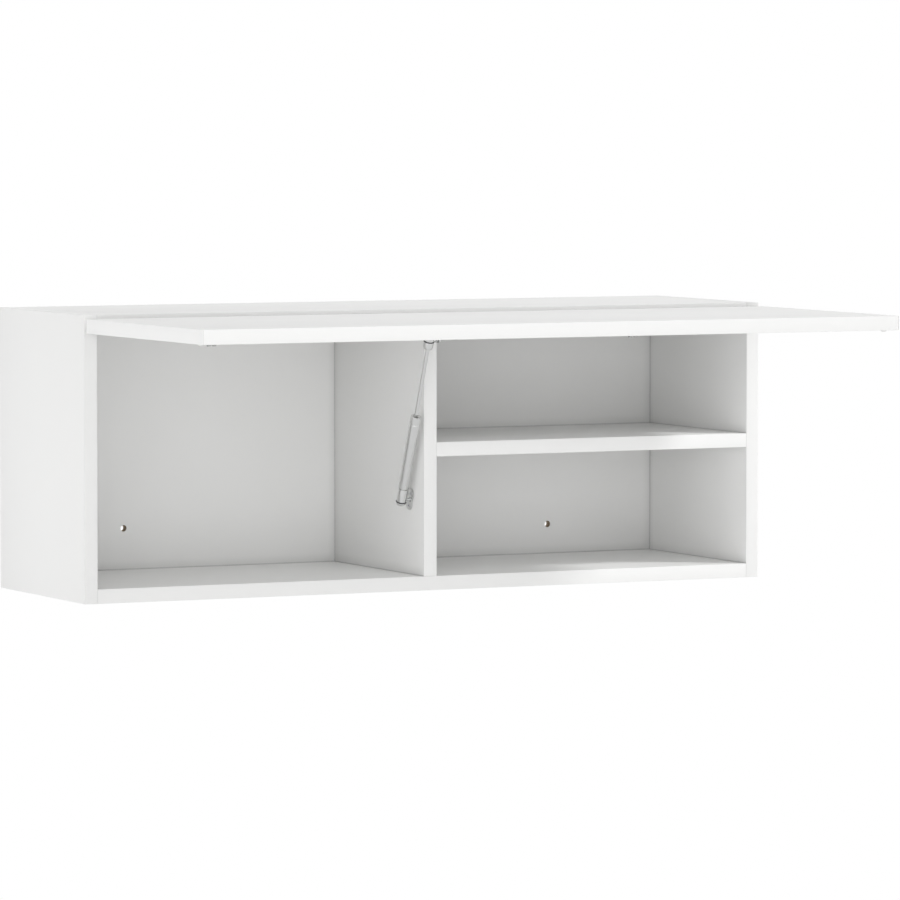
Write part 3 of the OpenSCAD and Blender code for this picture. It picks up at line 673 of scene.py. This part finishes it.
board("side_left")
board("side_right")
board("top_panel", cam_face=(0, 0, -1))
board("bottom_panel", cam_face=(0, 0, -1))
board("divider", cam_face=(1, 0, 0), rebated=False)
board("shelf", cam_face=(0, 0, -1), rebated=False)

# %% [markdown]
# The back panel is a thick board too. Four holes go right through it for the wall screws. A
# cone breaks their rims at the face that shows inside the cabinet, which is why a light
# crescent is seen in a hole from the side.

# %% Back panel
RIM = 0.0005
MM = 0.001
wall_holes = [m for m in frame["record"]["mounts"] if m["kind"] == "bore"]


def make_back():
    piece = to_object("board_back", plank(back_low, back_high, EASE), melamine)
    thick = back_high.y - back_low.y
    through = []
    rims = []
    for hole in wall_holes:
        x, y, z = hole["pos_m"]
        radius = hole["dims"]["r_mm"] * MM
        middle = (x, back_low.y + thick / 2, z)
        through.append(drill(middle, (0, 1, 0), radius, thick + 2 * DEPTH_PAST))
        rims.append(taper((x, back_low.y, z), (0, 1, 0), radius + 2 * RIM, radius, 2 * RIM))
    cut(piece, through, chipboard)
    cut(piece, rims, melamine)
    return place(piece, "carcass", "white_board", "back_panel")


make_back()

# %% [markdown]
# ## The edge strips
# A strip of plastic is glued on each edge that shows, and a cutter eases its corners. It is
# the edge that meets the light first, so three segments keep the round smooth.

# %% Edge strips
STRIP_ROUND = 0.00035


def strips(node, body, name):
    bm = bmesh.new()
    for low, high in solids(node):
        add_to(bm, plank(low, high, STRIP_ROUND, segments=3))
    return place(to_object(name, bm, strip_plastic), body, "edge_strip", node)


strips("side_edge_bands", "carcass", "strips_of_sides")
strips("level_edge_bands", "carcass", "strips_of_level_boards")
strips("divider_edge_band", "carcass", "strip_of_divider")
strips("shelf_edge_band", "carcass", "strip_of_shelf")
strips("flap_side_bands", "flap", "strips_of_flap_ends")
strips("flap_long_bands", "flap", "strips_of_flap_lengths")

# %% [markdown]
# ## The flap
# The flap is one board with strips on all four edges. Its inner face has the two bores for
# the hinge cups.

# %% Flap board
STRIP_THICK = 0.001
CUP_RADIUS = 0.0175
CUP_FROM_EDGE = 0.0215
CUP_BORE_DEPTH = 0.0122
CUP_PLAY = 0.0001
flap_low, flap_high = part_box("flap_panel")
cup_middle_y = flap_high.y + STRIP_THICK - CUP_FROM_EDGE


def make_flap():
    piece = to_object("board_flap", plank(flap_low, flap_high, EASE), melamine)
    bores = []
    for low, high in solids("hinge_cups"):
        middle = ((low.x + high.x) / 2, cup_middle_y, flap_low.z + (CUP_BORE_DEPTH - DEPTH_PAST) / 2)
        bores.append(
            drill(middle, (0, 0, 1), CUP_RADIUS + CUP_PLAY, CUP_BORE_DEPTH + DEPTH_PAST, steps=64))
    cut(piece, bores, chipboard)
    return place(piece, "flap", "white_board", "flap_panel")


make_flap()

# %% [markdown]
# ## Turned pieces
# The gas strut, its ball sockets and its ball studs are round all over, so each is a profile
# spun about an axis. A profile is a list of corners, given as radius, height and how much the
# corner is eased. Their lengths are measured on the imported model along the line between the
# strut's two joints, so they stay true to it.

# %% Spinning a profile
POLE_MERGE = 0.0000001
NO_LENGTH = 0.00000001


def eased_profile(corners, steps=3):
    """Points of a profile, each corner rounded by its own ease."""
    points = []
    for i, (radius, height, ease) in enumerate(corners):
        here = Vector((radius, height))
        if not ease:
            points.append(here)
            continue
        last = Vector(corners[i - 1][:2])
        following = Vector(corners[(i + 1) % len(corners)][:2])
        start = here + (last - here).normalized() * ease
        end = here + (following - here).normalized() * ease
        for k in range(steps + 1):
            t = k / steps
            points.append(start.lerp(here, t).lerp(here.lerp(end, t), t))
    return points


def lathe(corners, frame_of, steps=56):
    """Spins a profile about the frame's Z; a profile that ends on the axis is a full solid."""
    points = eased_profile(corners)
    bm = bmesh.new()
    verts = [bm.verts.new((p.x, 0, p.y)) for p in points]
    edges = [bm.edges.new(pair) for pair in zip(verts, verts[1:])]
    if points[0].x > 0:
        edges.append(bm.edges.new((verts[-1], verts[0])))
    bmesh.ops.spin(
        bm, geom=verts + edges, cent=(0, 0, 0), axis=(0, 0, 1), angle=math.tau, steps=steps,
        use_merge=True)
    bmesh.ops.remove_doubles(bm, verts=bm.verts, dist=POLE_MERGE)
    bmesh.ops.dissolve_degenerate(bm, dist=NO_LENGTH, edges=bm.edges)
    bmesh.ops.transform(bm, matrix=frame_of, verts=bm.verts)
    return bm


def frame_between(origin, target):
    """A frame at the origin with Z towards the target and X along the cabinet."""
    along = (target - origin).normalized()
    side = Vector((1, 0, 0))
    turn = Matrix((side, along.cross(side), along)).transposed().to_4x4()
    return Matrix.Translation(origin) @ turn


def span(node, frame_of):
    """How far a node reaches along a frame's Z, and its greatest distance from that axis."""
    back = frame_of.inverted()
    points = [back @ v.co for v in nodes[node].data.vertices]
    heights = [p.z for p in points]
    return min(heights), max(heights), max(math.hypot(p.x, p.y) for p in points)


# %% [markdown]
# The tube is closed at its foot and open at its mouth, where a guide ring holds the rod. A
# shallow bead is rolled round it below the mouth, and keeps the ring in. The rod is ground
# and chromed, and carries the piston inside the tube.

# %% Gas strut: tube, rod and piston
low_ball = joint_at["strut_tube_swing"]
top_ball = joint_at["strut_rod_swing"]
low_frame = frame_between(low_ball, top_ball)
top_frame = frame_between(top_ball, low_ball)
BROKEN = 0.0001
FILED = 0.0002
TUBE_WALL = 0.0005
TUBE_FLOOR = 0.002
TUBE_FOOT_EASE = 0.001
MOUTH_EASE = 0.0003
BEAD_DOWN = 0.011
BEAD_HALF = 0.0009
BEAD_DEPTH = 0.0003
BEAD_EASE = 0.0005
ROD_EASE = 0.0003


def make_tube():
    start, mouth, radius = span("strut_tube", low_frame)
    inner = radius - TUBE_WALL
    bead = mouth - BEAD_DOWN
    profile = [
        (0, start, 0), (radius, start, TUBE_FOOT_EASE),
        (radius, bead - BEAD_HALF, FILED), (radius - BEAD_DEPTH, bead, BEAD_EASE),
        (radius, bead + BEAD_HALF, FILED),
        (radius, mouth, MOUTH_EASE), (inner, mouth, FILED),
        (inner, start + TUBE_FLOOR, TUBE_FOOT_EASE), (0, start + TUBE_FLOOR, 0)]
    piece = to_object("strut_tube_shell", lathe(profile, low_frame), tube_paint)
    return place(piece, "strut_cylinder", "tube_paint", "strut_tube")


def make_bar(node, name, material, slot_name):
    start, end, radius = span(node, low_frame)
    profile = [(0, start, 0), (radius, start, ROD_EASE), (radius, end, ROD_EASE), (0, end, 0)]
    piece = to_object(name, lathe(profile, low_frame, steps=40), material)
    return place(piece, "strut_piston_rod", slot_name, node)


make_tube()
make_bar("strut_rod", "strut_rod_bar", chrome, "rod_chrome")
make_bar("strut_piston", "strut_piston_nut", turned_steel, "pin_steel")

# %% [markdown]
# A socket is turned from a bar, with a ball seat inside, a hole at the side for the ball's
# stud, and a groove. The spring clip in the groove is a round wire, open where the stud is.

# %% Ball sockets
SEAT = 0.0052
STUD_HOLE = 0.0028
SOCKET_PAST = 0.008
CONE = 0.003
CONE_STEP = 0.0015
CONE_EASE = 0.0008
CONE_TIP_EASE = 0.0006
NECK_STEP = 0.0015
NECK_LONG = 0.0012
NECK_EASE = 0.0004
GROOVE_HALF = 0.0008
GROOVE_DEPTH = 0.0008
ROD_SEAT = 0.006
ROD_HOLE = 0.00255
ROD_LIP_EASE = 0.0005


def socket_start(radius, groove):
    """The corners shared by both sockets: cone, back part and groove."""
    bottom = radius - GROOVE_DEPTH
    return [
        (0, -SOCKET_PAST, 0), (radius - CONE_STEP, -SOCKET_PAST, CONE_TIP_EASE),
        (radius, CONE - SOCKET_PAST, CONE_EASE),
        (radius, groove - GROOVE_HALF, FILED), (bottom, groove - GROOVE_HALF, BROKEN),
        (bottom, groove + GROOVE_HALF, BROKEN), (radius, groove + GROOVE_HALF, FILED)]


def neck_end(radius, high):
    """The end that narrows to meet the tube's foot."""
    neck = radius - NECK_STEP
    return [
        (radius, high - NECK_LONG, NECK_EASE), (neck, high - NECK_LONG, BROKEN), (neck, high, BROKEN),
        (0, high, 0)]


def rod_end(radius, high):
    """The end that takes the rod."""
    return [
        (radius, high - CONE, CONE_EASE), (radius - CONE_STEP, high, ROD_LIP_EASE),
        (ROD_HOLE, high, BROKEN), (ROD_HOLE, high - ROD_SEAT, 0), (0, high - ROD_SEAT, 0)]


def make_socket(node, clip_node, name, frame_of, body, end_corners):
    _, high, radius = span(node, frame_of)
    clip_low, clip_high, _ = span(clip_node, frame_of)
    profile = socket_start(radius, (clip_low + clip_high) / 2) + end_corners(radius, high)
    piece = to_object(name, lathe(profile, frame_of), socket_steel)
    seat = bmesh.new()
    bmesh.ops.create_uvsphere(seat, u_segments=40, v_segments=20, radius=SEAT, matrix=frame_of)
    cut(piece, [seat], socket_steel)
    mouth = frame_of @ Vector((radius, 0, 0))
    cut(piece, [drill(mouth, (1, 0, 0), STUD_HOLE, 2 * radius)], socket_steel)
    return place(piece, body, "socket_steel", node)


make_socket("strut_lower_socket", "strut_lower_clip", "strut_socket_low", low_frame,
            "strut_cylinder", neck_end)
make_socket("strut_upper_socket", "strut_upper_clip", "strut_socket_top", top_frame,
            "strut_piston_rod", rod_end)

# %% [markdown]
# The clip is bent from round wire. A circle of wire is spun most of the way round, and the
# two open ends are filled.

# %% Spring clips
WIRE_SIDES = 12
CLIP_STEPS = 44


def make_clip(node, name, frame_of, body):
    """A C of round wire; it is open on the frame's X side."""
    low, high, reach = span(node, frame_of)
    wire = (high - low) / 2
    ring = reach - wire
    half_gap = math.asin((STUD_HOLE + wire) / ring)
    start = Matrix.Rotation(half_gap, 4, "Z") @ Matrix.Translation((ring, 0, 0))
    stand = Matrix.Rotation(math.pi / 2, 4, "X")
    bm = bmesh.new()
    bmesh.ops.create_circle(
        bm, cap_ends=False, segments=WIRE_SIDES, radius=wire, matrix=start @ stand)
    bmesh.ops.spin(
        bm, geom=bm.verts[:] + bm.edges[:], cent=(0, 0, 0), axis=(0, 0, 1),
        angle=math.tau - 2 * half_gap, steps=CLIP_STEPS)
    bmesh.ops.holes_fill(bm, edges=bm.edges, sides=0)
    bmesh.ops.translate(bm, vec=(0, 0, (low + high) / 2), verts=bm.verts)
    bmesh.ops.transform(bm, matrix=frame_of, verts=bm.verts)
    return place(to_object(name, bm, spring_steel), body, "clip_steel", node)


make_clip("strut_lower_clip", "strut_clip_low", low_frame, "strut_cylinder")
make_clip("strut_upper_clip", "strut_clip_top", top_frame, "strut_piston_rod")

# %% [markdown]
# A ball stud is a ball on a short neck, with a flat collar that rests on the bracket. Its
# profile follows the ball from the pole to the neck.

# %% Ball studs
BALL = 0.005
BALL_STEPS = 14
STUD = 0.002
COLLAR = 0.0035
COLLAR_THICK = 0.0012


def make_stud(node, name, centre, body):
    stand = frame_between(centre, centre + Vector((0, 0, 1))) @ Matrix.Rotation(math.pi / 2, 4, "Y")
    _, reach, _ = span(node, stand)
    profile = [(0, -BALL, 0)]
    arc = math.acos(STUD / BALL) + math.pi / 2
    for k in range(1, BALL_STEPS + 1):
        angle = arc * k / BALL_STEPS - math.pi / 2
        profile.append((BALL * math.cos(angle), BALL * math.sin(angle), 0))
    profile += [
        (STUD, reach - COLLAR_THICK, FILED), (COLLAR, reach - COLLAR_THICK, FILED),
        (COLLAR, reach, BROKEN), (0, reach, 0)]
    return place(to_object(name, lathe(profile, stand, steps=40), turned_steel), body, "pin_steel", node)


make_stud("lower_ball_stud", "ball_stud_low", low_ball, "carcass")
make_stud("upper_ball_stud", "ball_stud_top", top_ball, "flap")

# %% [markdown]
# ## Pressed and moulded pieces
# The hinges and brackets are bent and pressed from sheet, so their outlines are already right
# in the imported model, and only their edges are too sharp. A copy of each solid has its
# triangles merged into whole faces, and then every edge sharper than a set angle is rounded.

# %% Hinges, brackets, links and pads
FLAT_UNDER = math.radians(0.5)
SHARP_OVER = math.radians(40)


def whole_faces(node):
    bm = bmesh.new()
    bm.from_mesh(nodes[node].data)
    bmesh.ops.remove_doubles(bm, verts=bm.verts, dist=SAME_POINT)
    bmesh.ops.dissolve_limit(bm, angle_limit=FLAT_UNDER, verts=bm.verts, edges=bm.edges)
    return bm


def eased_copy(node, name, body, slot_name, material, width):
    bm = whole_faces(node)
    sharp = [e for e in bm.edges if e.is_manifold and e.calc_face_angle() > SHARP_OVER]
    bmesh.ops.bevel(
        bm, geom=sharp, offset=width, segments=2, profile=0.5, affect="EDGES", clamp_overlap=True,
        material=-1)
    return place(to_object(name, bm, material), body, slot_name, node)


eased_copy("hinge_arms", "hinge_arm_channels", "carcass", "hinge_steel", nickel, 0.00035)
eased_copy("hinge_plates", "hinge_mounting_plates", "carcass", "hinge_steel", nickel, 0.0004)
eased_copy("hinge_links", "hinge_link_bars", "links", "hinge_steel", nickel, 0.0002)
eased_copy("hinge_cups", "hinge_cup_shells", "flap", "hinge_steel", nickel, 0.00025)
eased_copy("lower_bracket", "strut_bracket_low", "carcass", "bracket_steel", pressed_zinc, 0.0004)
eased_copy("upper_bracket", "strut_bracket_top", "flap", "bracket_steel", pressed_zinc, 0.0004)
eased_copy("strut_guide_ring", "strut_mouth_seal", "strut_cylinder", "tube_paint", guide_plastic, 0.0003)
eased_copy("flap_pads", "flap_soft_pads", "flap", "soft_pad", soft_pad, 0.0008)
eased_copy("cam_locks", "cam_lock_drums", "carcass", "cast_zinc", cast_zinc, 0.0002)

# %% [markdown]
# Screws, bolts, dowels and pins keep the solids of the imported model, which already have their
# heads, slots and points, and only get their finish.

# %% Finishes of the pieces that keep their solids
KEPT = {
    "cam_bolts": bright_zinc, "dowels": beech, "back_screws": bright_zinc,
    "hinge_plate_screws": bright_zinc, "hinge_arm_screws": bright_zinc,
    "hinge_arm_pins": turned_steel, "hinge_cup_screws": bright_zinc,
    "hinge_cup_pins": turned_steel, "lower_bracket_screws": bright_zinc,
    "upper_bracket_screws": bright_zinc,
}
for name, material in KEPT.items():
    nodes[name].data.materials.clear()
    nodes[name].data.materials.append(material)
print("kept solids with a finish:", len(KEPT))
